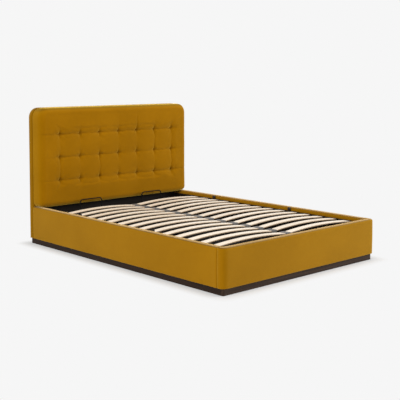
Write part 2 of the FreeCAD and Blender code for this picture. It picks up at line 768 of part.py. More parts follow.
def main():
    os.makedirs("parts", exist_ok=True)

    foot_angle, foot_bolts, foot_holes = corner_fixings(foot_inner_y, 1)
    head_angle, head_bolts, head_holes = corner_fixings(liner_front_y, -1)
    plate, screws, screw_holes = lift_plate()
    holes = Part.makeCompound(foot_holes + head_holes + screw_holes)
    all_holes = Part.makeCompound(both(holes))

    rail_core, rail_cover = side_rail()
    save_pair("side_rail_core", rail_core.cut(holes))
    save_pair("side_rail_cover", rail_cover.cut(holes))
    foot_core, foot_cover = foot_rail()
    save("foot_rail_core", foot_core.cut(all_holes))
    save("foot_rail_cover", foot_cover.cut(all_holes))
    backing_core, backing_cover = headboard_backing()
    save("headboard_backing_core", backing_core.cut(all_holes))
    save("headboard_backing_cover", backing_cover.cut(all_holes))
    save("headboard_pad", headboard_pad())

    inner_front_y, inner_back_y = plinth()
    storage_floor(inner_front_y, inner_back_y, all_holes)

    save("corner_brackets", *both(foot_angle), *both(head_angle))
    save("corner_bolts", *[piece for one in foot_bolts + head_bolts for piece in both(one)])

    pins = base_pins()
    seats = Part.makeCompound([across(-overrun, lift_plate_thickness + overrun, place, radius)
                               for place, radius in ((arm_base, pin_radius), (link_base, pin_radius),
                                                     (strut_base, strut_pin_radius))])
    save_pair("lift_plate", plate.cut(holes).cut(seats))
    save("lift_plate_screws", *[piece for one in screws for piece in both(one)])
    save("base_pins", *[piece for pin in pins for piece in both(pin)])
    turning = pin_radius + pin_clearance
    save_pair("lift_arm", flat_bar(arm_base, arm_top, arm_depth0, arm_depth1, turning, turning))
    save_pair("link_arm", flat_bar(link_base, link_top, link_depth0, link_depth1, turning,
                                   pin_radius + open_pivot_clearance))
    save_pair("strut_cylinder", strut_cylinder())
    save_pair("strut_rod", strut_rod())

    bracket, bracket_bolts, bracket_holes = platform_bracket()
    upper_pins = platform_pins()
    bracket = bracket.cut(Part.makeCompound(bracket_holes + upper_pins))
    save_pair("platform_bracket", bracket)
    save("platform_pins", *[piece for pin in upper_pins for piece in both(pin)])
    save("bracket_bolts", *[piece for one in bracket_bolts for piece in both(one)])

    side = tube(-frame_outer_x, -frame_inner_x, frame_foot_y, frame_head_y, False)
    save_pair("frame_side", side.cut(Part.makeCompound(bracket_holes)))
    centre_y0 = frame_foot_y + tube_width
    centre_y1 = frame_head_y - tube_width
    save("frame_head_tube", tube(-frame_inner_x, frame_inner_x, centre_y1, frame_head_y, True))
    save("frame_foot_tube", tube(-frame_inner_x, frame_inner_x, frame_foot_y, centre_y0, True))
    save("frame_centre_tube", tube(-tube_width / 2, tube_width / 2, centre_y0, centre_y1, False))
    crosses = []
    for share in cross_shares:
        y = centre_y0 + share * (centre_y1 - centre_y0)
        cross = tube(-frame_inner_x, -tube_width / 2, y - tube_width / 2, y + tube_width / 2, True)
        crosses += both(cross)
    save("frame_cross_tubes", *crosses)
    save("tube_caps", *both(tube_cap(frame_foot_y, 1)), *both(tube_cap(frame_head_y, -1)))

    slatted_base()

    hoop, clamps = mattress_hoop()
    save_pair("mattress_hoop", hoop)
    save("hoop_clamps", *[piece for clamp in clamps for piece in both(clamp)])
    save("side_buffers", *[piece for share in buffer_row_shares for piece in both(side_buffer(share))])

    rest, rest_pad = foot_rest()
    save("rest_brackets", *both(rest))
    save("rest_pads", *both(rest_pad))


main()
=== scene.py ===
import math

import bpy
import numpy as np
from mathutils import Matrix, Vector, noise


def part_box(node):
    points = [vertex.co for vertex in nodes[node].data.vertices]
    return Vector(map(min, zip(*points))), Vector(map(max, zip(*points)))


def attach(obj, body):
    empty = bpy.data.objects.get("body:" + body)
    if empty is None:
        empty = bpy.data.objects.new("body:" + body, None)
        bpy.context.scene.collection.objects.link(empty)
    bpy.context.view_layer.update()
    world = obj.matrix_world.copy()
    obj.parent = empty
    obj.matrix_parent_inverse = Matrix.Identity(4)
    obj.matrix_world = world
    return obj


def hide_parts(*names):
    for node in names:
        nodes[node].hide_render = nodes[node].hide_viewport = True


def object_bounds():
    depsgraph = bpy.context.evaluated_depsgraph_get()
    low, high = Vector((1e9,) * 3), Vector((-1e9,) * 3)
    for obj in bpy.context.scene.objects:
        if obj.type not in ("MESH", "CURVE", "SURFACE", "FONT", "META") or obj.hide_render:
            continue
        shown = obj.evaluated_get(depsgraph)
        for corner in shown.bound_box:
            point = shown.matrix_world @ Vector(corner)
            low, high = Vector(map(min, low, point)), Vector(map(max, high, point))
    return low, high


# Looks of the upholstered ottoman bed. Lengths are in metres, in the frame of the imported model:
# X across the bed, +Y towards the headboard, +Z up from the floor.

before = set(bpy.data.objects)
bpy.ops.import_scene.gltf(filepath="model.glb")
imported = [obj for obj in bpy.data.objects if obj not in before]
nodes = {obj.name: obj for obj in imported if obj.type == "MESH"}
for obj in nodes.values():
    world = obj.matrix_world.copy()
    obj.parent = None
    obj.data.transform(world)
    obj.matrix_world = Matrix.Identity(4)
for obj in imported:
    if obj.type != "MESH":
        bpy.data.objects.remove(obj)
cad_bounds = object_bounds()
scene = bpy.context.scene

MM = 0.001
X_AXIS = 0
Y_AXIS = 1
WHITE = (1.0, 1.0, 1.0)

# Least values that keep a division safe
LEAST_RADIUS = 1e-6
LEAST_LENGTH = 1e-9

# The camera as solved from the straight edges of the photograph
PHOTO_PIXELS = 400
CAMERA_PLACE = Vector((-4.0909, -4.4989, 1.3073))
CAMERA_YAW = math.radians(42.678)
CAMERA_PITCH = math.radians(4.0)
FOCAL_PIXELS = 831.67
PRINCIPAL_ROW = 131.83
SENSOR_WIDTH = 36.0
CLIP_START = 0.05
CLIP_END = 60.0

# Floor, backdrop and lights: the name, place, target, size and watts of each light
BACKDROP = (0.922, 0.922, 0.922)
FLOOR_PAINT = (0.70, 0.70, 0.70)
FLOOR_HALF = 14.0
SHADOW_REACH = 115 * MM
SHADOW_SHARE = 0.3
WORLD_STRENGTH = 0.62
LIGHTS = (
    ("overhead", (0.3, -0.2, 4.6), (0, 0, 0.2), (4.5, 5.0), 60),
    ("key", (7.6, -5.8, 3.0), (0, 0, 0.4), (4.4, 3.4), 670),
    ("fill", (-7.0, -1.6, 3.0), (0, 0, 0.3), (3.8, 2.8), 322),
)

# Slats of the platform
SLAT_PITCH = 122.154 * MM
SLAT_RISE = 18 * MM
PLY_THICKNESS = 1.35 * MM

# Upholstered rails: the mesh steps are along X, Y and Z, the shares divide a rounded edge
RAIL_STEPS = (12 * MM, 14 * MM, 12 * MM)
FOOT_RAIL_STEPS = (14 * MM, 8 * MM, 12 * MM)
RAIL_EDGE_RADIUS = 14 * MM
RAIL_EDGE_SHARES = (0.0, 0.2, 0.5, 1.0)
RAIL_CROWN = 1.6 * MM
FOOT_CORNER_RADIUS = 40 * MM
HEM_RADIUS = 2 * MM
# The inner faces of the rails are near black from this far below their tops down
INNER_BLACK_DROP = 22 * MM
INNER_BLACK_FACING = 0.7
TOP_FACING = 0.85

# Seam beside each foot corner: the side rail ends there, and the foot rail's cover laps it
SEAM_RADIUS = 8 * MM
SEAM_EDGE_SHARES = (0.0, 0.3, 1.0)
FOOT_SEAM_RADIUS = 11 * MM
SEAM_LAP = 1.5 * MM
SEAM_PUFF = 2.5 * MM
SIDE_PUFF_LENGTH = 60 * MM
FOOT_PUFF_LENGTH = 40 * MM
LIP_LENGTH = 12 * MM
LIP_SIDE_FADE = 9 * MM

# Headboard backing
BACKING_STEPS = (16 * MM, 16 * MM, 9 * MM)
BACKING_CORNER_RADIUS = 75 * MM
BACKING_EDGE_RADIUS = 12 * MM
BACKING_FRONT_RADIUS = 18 * MM
BACKING_EDGE_SHARES = (0.0, 0.1, 0.27, 0.55, 1.0)

# Lumps of the velvet: the strength, size and seed of each layer of noise, and their height
RAIL_LUMPS = ((0.5, 160 * MM, 1), (0.25, 50 * MM, 2))
FOOT_LUMPS = ((0.5, 170 * MM, 3), (0.25, 50 * MM, 4))
BACKING_LUMPS = ((0.6, 200 * MM, 5), (0.25, 60 * MM, 6))
PAD_LUMPS = ((0.6, 120 * MM, 7), (0.3, 45 * MM, 8))
LUMP_HEIGHT = 0.9 * MM
PAD_LUMP_HEIGHT = 1.2 * MM
PAD_SMOOTH_BACK = 5 * MM
SEED_STEPS = (3.7, 1.3, 5.1)

# Headboard pad before it is filled: narrower at its front, hanging between the rails
PAD_GRID = 8 * MM
PAD_TOP_RADIUS = 74 * MM
PAD_BOTTOM_RADIUS = 38 * MM
PAD_EDGE_RADIUS = 44 * MM
PAD_EDGE_SHARES = (0.0, 0.12, 0.3, 0.55, 0.78, 1.0)
PAD_LOWER_EDGE_RADIUS = 38 * MM
PAD_LOWER_HEIGHT = 220 * MM
PAD_BACK_RADIUS = 8 * MM
PAD_BACK_GAP = 4.5 * MM
PAD_SPREAD = 12 * MM
PAD_TAPER = 15 * MM
PAD_TAPER_POWER = 1.5
PAD_HANG = 6 * MM
PAD_HANG_HEIGHT = 90 * MM
PAD_HANG_BACK_SHARE = 0.4
PAD_RAIL_GAP = 2 * MM
PAD_RAIL_FADE = 22 * MM

# Filling of the pad: how far it swells, where its cloth is held and where the swelling fades
PAD_FILL = 6 * MM
PAD_PRESSURE = 4.0
PAD_FRAMES = 20
HELD_DEPTH = 55 * MM
HELD_TUFT_RADIUS = 1.4 * PAD_GRID
HELD_FRONT_SHARE = 0.5
FILL_FRONT_REACH = 70 * MM
FILL_FRONT_FADE = 50 * MM
FILL_TUFT_SHARE = 0.85
FILL_TUFT_REACH = 38 * MM
FILL_RIM = 60 * MM
FILL_RIM_FADE = 90 * MM

# Tufts of the pad: seven columns and three rows, whose heights follow from the top row
TUFT_COLUMNS = 7
TUFT_ROW_COUNT = 3
TUFT_PITCH_ACROSS = 187.7 * MM
TUFT_PITCH_DOWN = 177.5 * MM
TUFT_TOP_ROW = 842 * MM
TUFT_ROWS = tuple(TUFT_TOP_ROW - n * TUFT_PITCH_DOWN for n in range(TUFT_ROW_COUNT))
TUFT_DEPTH = 27 * MM
TUFT_REACH = 20 * MM
TUFT_POWER = 1.15
TUFT_STAR_SHARE = 0.28

# Folds between the tufts
FOLD_DEPTH = 4.5 * MM
FOLD_DEPTH_ALONG = 1.4 * FOLD_DEPTH
FOLD_WIDTH = 6 * MM
FOLD_POWER = 1.4
FOLD_RIM_PLACE = 17 * MM
FOLD_RIM_WIDTH = 9 * MM
FOLD_RIM_SHARE = 0.1
FOLD_MIDDLE_SHARE = 0.6
FOLD_TUFT_REACH = 55 * MM
FOLD_DOWN_LENGTH = 90 * MM
FOLD_DOWN_FADE = 70 * MM
FOLD_FRONT_REACH = 60 * MM
FOLD_FRONT_FADE = 45 * MM

# How strong the fold is in each stretch along a row of tufts, from the left side of the pad to
# its right side, and in each stretch down a column, from the top of the pad to its lower edge
ALONG_SHARES = ((0.7, 1.0, 0.9, 0.9, 0.9, 0.9, 1.0, 0.3),
                (0.2, 1.0, 0.45, 0.9, 0.25, 0.4, 0.9, 0.3),
                (0.45, 0.6, 0.3, 0.35, 0.8, 0.9, 1.0, 0.8))
DOWN_SHARES = ((0.05, 0.05, 0.05, 0.2, 0.95, 0.05, 0.05),
               (0.1, 0.1, 0.1, 0.1, 0.15, 0.85, 0.2),
               (0.75, 0.1, 0.95, 0.1, 0.1, 0.2, 0.85),
               (0.1, 0.0, 0.15, 0.05, 0.05, 0.05, 0.1))

# How the folds wander: the depth, radians per metre and phase of each wave
WANDER_ACROSS = ((2.5 * MM, 61.0, 1.3), (1.5 * MM, 143.0, 0.0))
WANDER_DOWN = ((2.0 * MM, 47.0, 0.4), (1.5 * MM, 119.0, 2.0))

# Where painted shade darkens the pile: around the tufts and, less, along the folds
CREASE_SHADE_REACH = 13 * MM
CREASE_SHADE_POWER = 1.5
CREASE_SHADE_FOLD_SHARE = 0.3


# Geometry helpers
def insets(radius, shares):
    """How far inside the edge a block is divided, for each share of its radius."""
    return tuple(radius * share for share in shares)


def spaced(low, high, step, fine):
    """Places from low to high about a step apart, with the fine insets repeated at both ends."""
    inner = max(1, round((high - low - 2 * fine[-1]) / step))
    middle = list(np.linspace(low + fine[-1], high - fine[-1], inner + 1))
    return [low + f for f in fine[:-1]] + middle + [high - f for f in reversed(fine[:-1])]


def box_grid(us, vs, ws):
    """Corner points and quads of the surface of a box divided at the places us, vs and ws."""
    points = []
    index = {}
    quads = []

    def corner(i, j, k):
        key = (i, j, k)
        if key not in index:
            index[key] = len(points)
            points.append((us[i], vs[j], ws[k]))
        return index[key]

    last = (len(us) - 1, len(vs) - 1, len(ws) - 1)
    for axis in range(3):
        a, b = [n for n in range(3) if n != axis]
        for end in (0, last[axis]):
            for p in range(last[a]):
                for q in range(last[b]):
                    ring = []
                    for dp, dq in ((0, 0), (1, 0), (1, 1), (0, 1)):
                        place = [0, 0, 0]
                        place[axis] = end
                        place[a] = p + dp
                        place[b] = q + dq
                        ring.append(corner(*place))
                    outward = (end > 0) == (axis != 1)
                    quads.append(ring if outward else ring[::-1])
    return np.array(points), quads


def squircle(a, b):
    """Maps the outer corner of a unit square onto a quarter disc."""
    return a * np.sqrt(1 - b * b / 2), b * np.sqrt(1 - a * a / 2)


def round_block(points, low, high, corner_radius, edge_radius):
    """Rounds a divided box. corner_radius(u sign, v sign) rounds its outline in u and v, and
    edge_radius(u, v, nearest axis, w sign) rounds the rim at both ends of w."""
    p = points.copy()
    for su in (-1, 1):
        for sv in (-1, 1):
            r = corner_radius(su, sv)
            du = (p[:, 0] - low[0]) if su < 0 else (high[0] - p[:, 0])
            dv = (p[:, 1] - low[1]) if sv < 0 else (high[1] - p[:, 1])
            hit = (du < r) & (dv < r)
            a, b = squircle(1 - du[hit] / r, 1 - dv[hit] / r)
            new_u = r * (1 - a)
            new_v = r * (1 - b)
            p[hit, 0] = low[0] + new_u if su < 0 else high[0] - new_u
            p[hit, 1] = low[1] + new_v if sv < 0 else high[1] - new_v
    side_u = np.where(p[:, 0] < (low[0] + high[0]) / 2, -1, 1)
    side_v = np.where(p[:, 1] < (low[1] + high[1]) / 2, -1, 1)
    du = np.where(side_u < 0, p[:, 0] - low[0], high[0] - p[:, 0])
    dv = np.where(side_v < 0, p[:, 1] - low[1], high[1] - p[:, 1])
    radius = np.zeros(len(p))
    for su in (-1, 1):
        for sv in (-1, 1):
            radius[(side_u == su) & (side_v == sv)] = corner_radius(su, sv)
    in_corner = (du < radius) & (dv < radius)
    cu = np.where(in_corner, radius - du, np.where(du <= dv, 1.0, 0.0))
    cv = np.where(in_corner, radius - dv, np.where(du <= dv, 0.0, 1.0))
    length = np.maximum(np.hypot(cu, cv), LEAST_LENGTH)
    inset = np.where(in_corner, radius - length, np.minimum(du, dv))
    out_u = cu / length * side_u
    out_v = cv / length * side_v
    nearest = np.where(du <= dv, 0, 1)
    for sw in (-1, 1):
        r = np.maximum(edge_radius(p[:, 0], p[:, 1], nearest, sw), LEAST_RADIUS)
        dw = (p[:, 2] - low[2]) if sw < 0 else (high[2] - p[:, 2])
        hit = (inset < r) & (dw < r)
        a, b = squircle(1 - inset[hit] / r[hit], 1 - dw[hit] / r[hit])
        step = r[hit] * (1 - a) - inset[hit]
        p[hit, 0] -= out_u[hit] * step
        p[hit, 1] -= out_v[hit] * step
        new_w = r[hit] * (1 - b)
        p[hit, 2] = low[2] + new_w if sw < 0 else high[2] - new_w
    return p


def make_mesh(name, points, faces, smooth=True):
    mesh = bpy.data.meshes.new(name)
    mesh.from_pydata([tuple(p) for p in points], [], faces)
    mesh.polygons.foreach_set("use_smooth", [smooth] * len(mesh.polygons))
    mesh.update()
    piece = bpy.data.objects.new(name, mesh)
    scene.collection.objects.link(piece)
    return piece


def rail_block(name, low, high, steps, fines, corner_radius, edge_radius):
    """A rounded block drawn in X and Y, with its height along Z."""
    places = [spaced(low[n], high[n], steps[n], fines[n]) for n in range(3)]
    points, faces = box_grid(*places)
    return make_mesh(name, round_block(points, low, high, corner_radius, edge_radius), faces)


def upright_block(name, low, high, steps, fines, corner_radius, edge_radius):
    """A rounded block drawn in X and Z, with its depth along Y and its front at the high end of w."""
    flat_low = (low.x, low.z, -high.y)
    flat_high = (high.x, high.z, -low.y)
    places = [spaced(flat_low[n], flat_high[n], steps[n], fines[n]) for n in range(3)]
    points, faces = box_grid(*places)
    rounded = round_block(points, flat_low, flat_high, corner_radius, edge_radius)
    upright = np.column_stack([rounded[:, 0], -rounded[:, 2], rounded[:, 1]])
    return make_mesh(name, upright, faces)


def read_points(mesh):
    flat = np.zeros(len(mesh.vertices) * 3)
    mesh.vertices.foreach_get("co", flat)
    return flat.reshape(-1, 3)


def read_normals(mesh):
    flat = np.zeros(len(mesh.vertices) * 3)
    mesh.vertices.foreach_get("normal", flat)
    return flat.reshape(-1, 3)


def write_points(mesh, points):
    mesh.vertices.foreach_set("co", np.asarray(points, float).ravel())
    mesh.update()


def soft_noise(points, size, seed):
    """Smooth noise from -1 to 1 at each point, with lumps of about the given size."""
    shift = Vector([seed * step for step in SEED_STEPS])
    return np.array([noise.noise(Vector(p) / size + shift) for p in points])


def lumps(points, layers):
    """The sum of several layers of soft noise at each point."""
    return sum(strength * soft_noise(points, size, seed) for strength, size, seed in layers)


def swell(piece, amount):
    """Moves every point of a piece along its normal by its own amount."""
    mesh = piece.data
    write_points(mesh, read_points(mesh) + read_normals(mesh) * np.asarray(amount)[:, None])


def subdivide(piece):
    """Divides and smooths the mesh of a piece once."""
    modifier = piece.modifiers.new("subdivision", "SUBSURF")
    modifier.levels = 1
    modifier.render_levels = 1
    graph = bpy.context.evaluated_depsgraph_get()
    mesh = bpy.data.meshes.new_from_object(piece.evaluated_get(graph))
    piece.modifiers.clear()
    old = piece.data
    piece.data = mesh
    bpy.data.meshes.remove(old)
    mesh.polygons.foreach_set("use_smooth", [True] * len(mesh.polygons))


# Material helpers
def add(tree, kind, inputs=None, **settings):
    """Adds a node with settings and inputs, each input a value or the socket that feeds it."""
    node = tree.nodes.new(kind)
    for key, value in settings.items():
        setattr(node, key, value)
    for key, value in (inputs or {}).items():
        if isinstance(value, bpy.types.NodeSocket):
            tree.links.new(value, node.inputs[key])
        else:
            node.inputs[key].default_value = value
    return node


def math_node(tree, operation, a, b=0.0, c=0.0):
    return add(tree, "ShaderNodeMath", {0: a, 1: b, 2: c}, operation=operation).outputs[0]


def vector_math(tree, operation, a, b=(0, 0, 0), output="Vector"):
    return add(tree, "ShaderNodeVectorMath", {0: a, 1: b}, operation=operation).outputs[output]


def weighed(tree, a, a_share, b, b_share):
    """The sum of two values, each times its share."""
    return math_node(tree, "MULTIPLY_ADD", a, a_share, math_node(tree, "MULTIPLY", b, b_share))


def ramp(tree, factor, stops):
    node = add(tree, "ShaderNodeValToRGB", {"Fac": factor})
    elements = node.color_ramp.elements
    while len(elements) < len(stops):
        elements.new(0.5)
    for element, (place, colour) in zip(elements, stops):
        element.position = place
        element.color = (*colour, 1)
    return node.outputs["Color"]


def scaled(tree, vector, scale):
    return add(tree, "ShaderNodeMapping", {"Vector": vector, "Scale": scale}).outputs["Vector"]


def object_coordinates(tree):
    return add(tree, "ShaderNodeTexCoord").outputs["Object"]


def facing_of(tree):
    """The X, Y and Z of the surface's direction, each as a socket."""
    normal = add(tree, "ShaderNodeTexCoord").outputs["Normal"]
    return add(tree, "ShaderNodeSeparateXYZ", {"Vector": normal}).outputs


def noise_of(tree, vector, scale, detail, roughness):
    return add(tree, "ShaderNodeTexNoise", {"Vector": vector, "Scale": scale, "Detail": detail,
                                            "Roughness": roughness}).outputs["Fac"]


def mixed(tree, factor, a, b, blend="MIX"):
    node = add(tree, "ShaderNodeMix", {0: factor}, data_type="RGBA", blend_type=blend)
    for socket, value in ((node.inputs[6], a), (node.inputs[7], b)):
        if isinstance(value, bpy.types.NodeSocket):
            tree.links.new(value, socket)
        else:
            socket.default_value = (*value, 1)
    return node.outputs[2]


def tinted(tree, colour, factor, stops):
    """The colour times a ramp over the factor."""
    return mixed(tree, 1.0, colour, ramp(tree, factor, stops), "MULTIPLY")


def bump(tree, height, distance, strength, normal=None):
    inputs = {"Height": height, "Distance": distance, "Strength": strength}
    if normal is not None:
        inputs["Normal"] = normal
    return add(tree, "ShaderNodeBump", inputs).outputs["Normal"]


def new_material(name, **sockets):
    """A new principled material, with the sockets that hold one value for the whole surface."""
    material = bpy.data.materials.new(name)
    material.use_nodes = True
    tree = material.node_tree
    shader = tree.nodes["Principled BSDF"]
    for key, value in sockets.items():
        shader.inputs[key.replace("_", " ")].default_value = value
    return material, tree, shader


def tie(tree, shader, **sockets):
    """Links each named socket of the shader to what feeds it."""
    for key, value in sockets.items():
        tree.links.new(value, shader.inputs[key.replace("_", " ")])


# Velvet: each noise here and below is its scale, detail and roughness
SHEEN_ROUGHNESS = 0.45
NAP_NOISE = (3.2, 2.0, 0.5)
CRUSH_NOISE = (30.0, 3.0, 0.6)
PILE_NOISE = (900.0, 2.0, 0.7)
NAP_SHARE = 0.62
CRUSH_SHARE = 0.24
PILE_SHARE = 0.14
VELVET_DARK_AT = 0.34
VELVET_LIGHT_AT = 0.66
CRUSH_RELIEF = 1.2 * MM
CRUSH_RELIEF_STRENGTH = 0.3
PILE_RELIEF = 0.5 * MM
PILE_RELIEF_STRENGTH = 0.5
# Painted shade: a velvet's forward shade tint darkens faces that look towards the foot, from the first
# facing to the second
FORWARD_FROM = 0.45
FORWARD_TO = 0.95
# Painted shade: faces that look up get a darker base colour, less so in blue, which tones down the bright
# tops of the rails
UPWARD_SHADE_STOPS = ((0.55, WHITE), (0.95, (0.39, 0.38, 0.8)))
# Painted shade in the tufts and folds
CREASE_SHADE_STOPS = ((0.0, WHITE), (1.0, (0.6, 0.55, 0.4)))


def velvet(name, dark, light, sheen, glow, forward_shade):
    """Short-pile velvet: broad nap marks, small crush marks and a fine pile. Its glow is the
    colour of the sheen. Painted shade darkens the base colour on faces that look up, where the
    mesh's painted-shade attribute marks a tuft or a fold, and, by the forward shade tint, on faces that
    look towards the foot of the bed."""
    material, tree, shader = new_material(
        name, Roughness=1.0, Specular_IOR_Level=0.0, Sheen_Weight=sheen,
        Sheen_Roughness=SHEEN_ROUGHNESS, Sheen_Tint=(*glow, 1))
    place = object_coordinates(tree)
    nap = noise_of(tree, place, *NAP_NOISE)
    crush = noise_of(tree, place, *CRUSH_NOISE)
    pile = noise_of(tree, place, *PILE_NOISE)
    tone = weighed(tree, crush, CRUSH_SHARE, nap, NAP_SHARE)
    tone = math_node(tree, "MULTIPLY_ADD", pile, PILE_SHARE, tone)
    colour = ramp(tree, tone, ((VELVET_DARK_AT, dark), (VELVET_LIGHT_AT, light)))
    facing = facing_of(tree)
    # Painted shade on faces that look along Y, towards the foot of the bed
    forward = math_node(tree, "ABSOLUTE", facing["Y"])
    colour = tinted(tree, colour, forward, ((FORWARD_FROM, WHITE), (FORWARD_TO, forward_shade)))
    # Painted shade on faces that look up
    colour = tinted(tree, colour, facing["Z"], UPWARD_SHADE_STOPS)
    # Painted shade in the tufts and folds, from the mask that the pad stores
    crease_shade = add(tree, "ShaderNodeAttribute", attribute_name="crease_shade").outputs["Fac"]
    colour = tinted(tree, colour, crease_shade, CREASE_SHADE_STOPS)
    relief = bump(tree, crush, CRUSH_RELIEF, CRUSH_RELIEF_STRENGTH)
    relief = bump(tree, pile, PILE_RELIEF, PILE_RELIEF_STRENGTH, relief)
    tie(tree, shader, Base_Color=colour, Normal=relief)
    return material


# Slat wood, with its grain along X
SLAT_GRAIN_SCALE = (1.6, 46, 46)
SLAT_GRAIN_NOISE = (3.0, 5.0, 0.62)
SLAT_GRAIN_SHARE = 0.75
SLAT_FIBRE_SCALE = (12, 420, 420)
SLAT_FIBRE_NOISE = (2.0, 2.0, 0.5)
SLAT_FIBRE_SHARE = 0.25
SLAT_SIDE_SEED = 40.0
SLAT_WOOD_STOPS = ((0.30, (0.70, 0.57, 0.43)), (0.52, (0.85, 0.75, 0.62)), (0.75, (0.90, 0.82, 0.71)))
SLAT_OWN_STOPS = ((0.0, (0.93, 0.90, 0.86)), (0.5, (1.0, 0.985, 0.96)), (1.0, WHITE))
# Edges of the slats: the plies alternate in tone, and the whole edge is darkened as painted shade
SLAT_PLY_SHADE_STOPS = ((0.0, (0.34, 0.27, 0.20)), (0.45, (0.60, 0.50, 0.40)), (1.0, (0.68, 0.58, 0.47)))
SLAT_EDGE_FACING = 0.5
SLAT_ROUGHNESS = 0.42
SLAT_ROUGHNESS_SPREAD = 0.2
SLAT_RELIEF = 0.4 * MM
SLAT_RELIEF_STRENGTH = 0.5


def slat_tone(tree, split):
    """A random value from 0 to 1 for each slat, by its row and its side of the bed."""
    row = math_node(tree, "FLOOR", math_node(tree, "DIVIDE", split["Y"], SLAT_PITCH))
    side = math_node(tree, "SIGN", split["X"])
    seed = math_node(tree, "MULTIPLY_ADD", side, SLAT_SIDE_SEED, row)
    return add(tree, "ShaderNodeTexWhiteNoise", {"W": seed}, noise_dimensions="1D").outputs["Value"]


def slat_plies(tree, split):
    """Rises and falls once with every two plies, counted from the top of the bowed slat."""
    low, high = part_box("slats_left")
    middle_x = (low.x + high.x) / 2
    half_span = (high.x - low.x) / 2
    bow_radius = (half_span ** 2 + SLAT_RISE ** 2) / (2 * SLAT_RISE)
    off_x = math_node(tree, "SUBTRACT", math_node(tree, "ABSOLUTE", split["X"]), -middle_x)
    off_z = math_node(tree, "SUBTRACT", split["Z"], high.z - bow_radius)
    squares = math_node(tree, "ADD", math_node(tree, "MULTIPLY", off_x, off_x),
                        math_node(tree, "MULTIPLY", off_z, off_z))
    depth = math_node(tree, "SUBTRACT", math_node(tree, "SQRT", squares), bow_radius)
    return math_node(tree, "PINGPONG", math_node(tree, "DIVIDE", depth, PLY_THICKNESS), 1.0)


def slat_wood():
    """Bent plywood slats: long fine grain, plies that show at the edges, which are also darkened as
    painted shade, and a tone of its own each.
    """
    material, tree, shader = new_material("slat_wood", Specular_IOR_Level=0.35, Coat_Weight=0.12,
                                          Coat_Roughness=0.35)
    place = object_coordinates(tree)
    split = add(tree, "ShaderNodeSeparateXYZ", {"Vector": place}).outputs
    own = slat_tone(tree, split)
    shifted = vector_math(tree, "ADD", place, own)
    grain = noise_of(tree, scaled(tree, shifted, SLAT_GRAIN_SCALE), *SLAT_GRAIN_NOISE)
    fibre = noise_of(tree, scaled(tree, shifted, SLAT_FIBRE_SCALE), *SLAT_FIBRE_NOISE)
    tone = weighed(tree, grain, SLAT_GRAIN_SHARE, fibre, SLAT_FIBRE_SHARE)
    wood = tinted(tree, ramp(tree, tone, SLAT_WOOD_STOPS), own, SLAT_OWN_STOPS)
    # Ply tones on the edges, darkened as painted shade
    edge = tinted(tree, wood, slat_plies(tree, split), SLAT_PLY_SHADE_STOPS)
    sideways = math_node(tree, "ABSOLUTE", facing_of(tree)["Y"])
    colour = mixed(tree, math_node(tree, "GREATER_THAN", sideways, SLAT_EDGE_FACING), wood, edge)
    roughness = math_node(tree, "MULTIPLY_ADD", fibre, SLAT_ROUGHNESS_SPREAD, SLAT_ROUGHNESS)
    relief = bump(tree, tone, SLAT_RELIEF, SLAT_RELIEF_STRENGTH)
    tie(tree, shader, Base_Color=colour, Roughness=roughness, Normal=relief)
    return material


# Long wood: pine and stained plinth boards
BOARD_SPECULAR = 0.16
BOARD_GRAIN_SCALES = (1.2, 38.0)
BOARD_GRAIN_NOISE = (2.2, 6.0, 0.6)
BOARD_GRAIN_SHARE = 0.65
BOARD_PORE_SCALES = (9.0, 330.0)
BOARD_PORE_NOISE = (2.0, 2.0, 0.55)
BOARD_PORE_SHARE = 0.35
BOARD_DARK_AT = 0.33
BOARD_LIGHT_AT = 0.66
BOARD_ROUGHNESS_SPREAD = 0.22
BOARD_RELIEF = 0.6 * MM
BOARD_RELIEF_STRENGTH = 0.5


def stretched(tree, axis, scales):
    """Object coordinates with the first scale along an axis and the second across it."""
    along, across = scales
    return scaled(tree, object_coordinates(tree), tuple(along if n == axis else across for n in range(3)))


def long_wood(name, dark, light, axis, rough):
    """Plain sawn or stained wood with its grain along one axis."""
    material, tree, shader = new_material(name, Specular_IOR_Level=BOARD_SPECULAR)
    grain = noise_of(tree, stretched(tree, axis, BOARD_GRAIN_SCALES), *BOARD_GRAIN_NOISE)
    pore = noise_of(tree, stretched(tree, axis, BOARD_PORE_SCALES), *BOARD_PORE_NOISE)
    tone = weighed(tree, pore, BOARD_PORE_SHARE, grain, BOARD_GRAIN_SHARE)
    colour = ramp(tree, tone, ((BOARD_DARK_AT, dark), (BOARD_LIGHT_AT, light)))
    roughness = math_node(tree, "MULTIPLY_ADD", pore, BOARD_ROUGHNESS_SPREAD, rough)
    relief = bump(tree, tone, BOARD_RELIEF, BOARD_RELIEF_STRENGTH)
    tie(tree, shader, Base_Color=colour, Roughness=roughness, Normal=relief)
    return material


# Speckled surfaces
SPECKLE_DETAIL = 3.0
SPECKLE_ROUGHNESS = 0.6
SPECKLE_SHARE = 0.6
CLOUD_NOISE = (7.0, 2.0, 0.5)
CLOUD_SHARE = 0.4
SPECKLE_DARK_AT = 0.3
SPECKLE_LIGHT_AT = 0.7
SPECKLE_ROUGHNESS_SPREAD = 0.18
SPECKLE_RELIEF = 0.4 * MM
POWDER_COAT_RELIEF = 0.2 * MM
SPECKLE_RELIEF_STRENGTH = 0.5


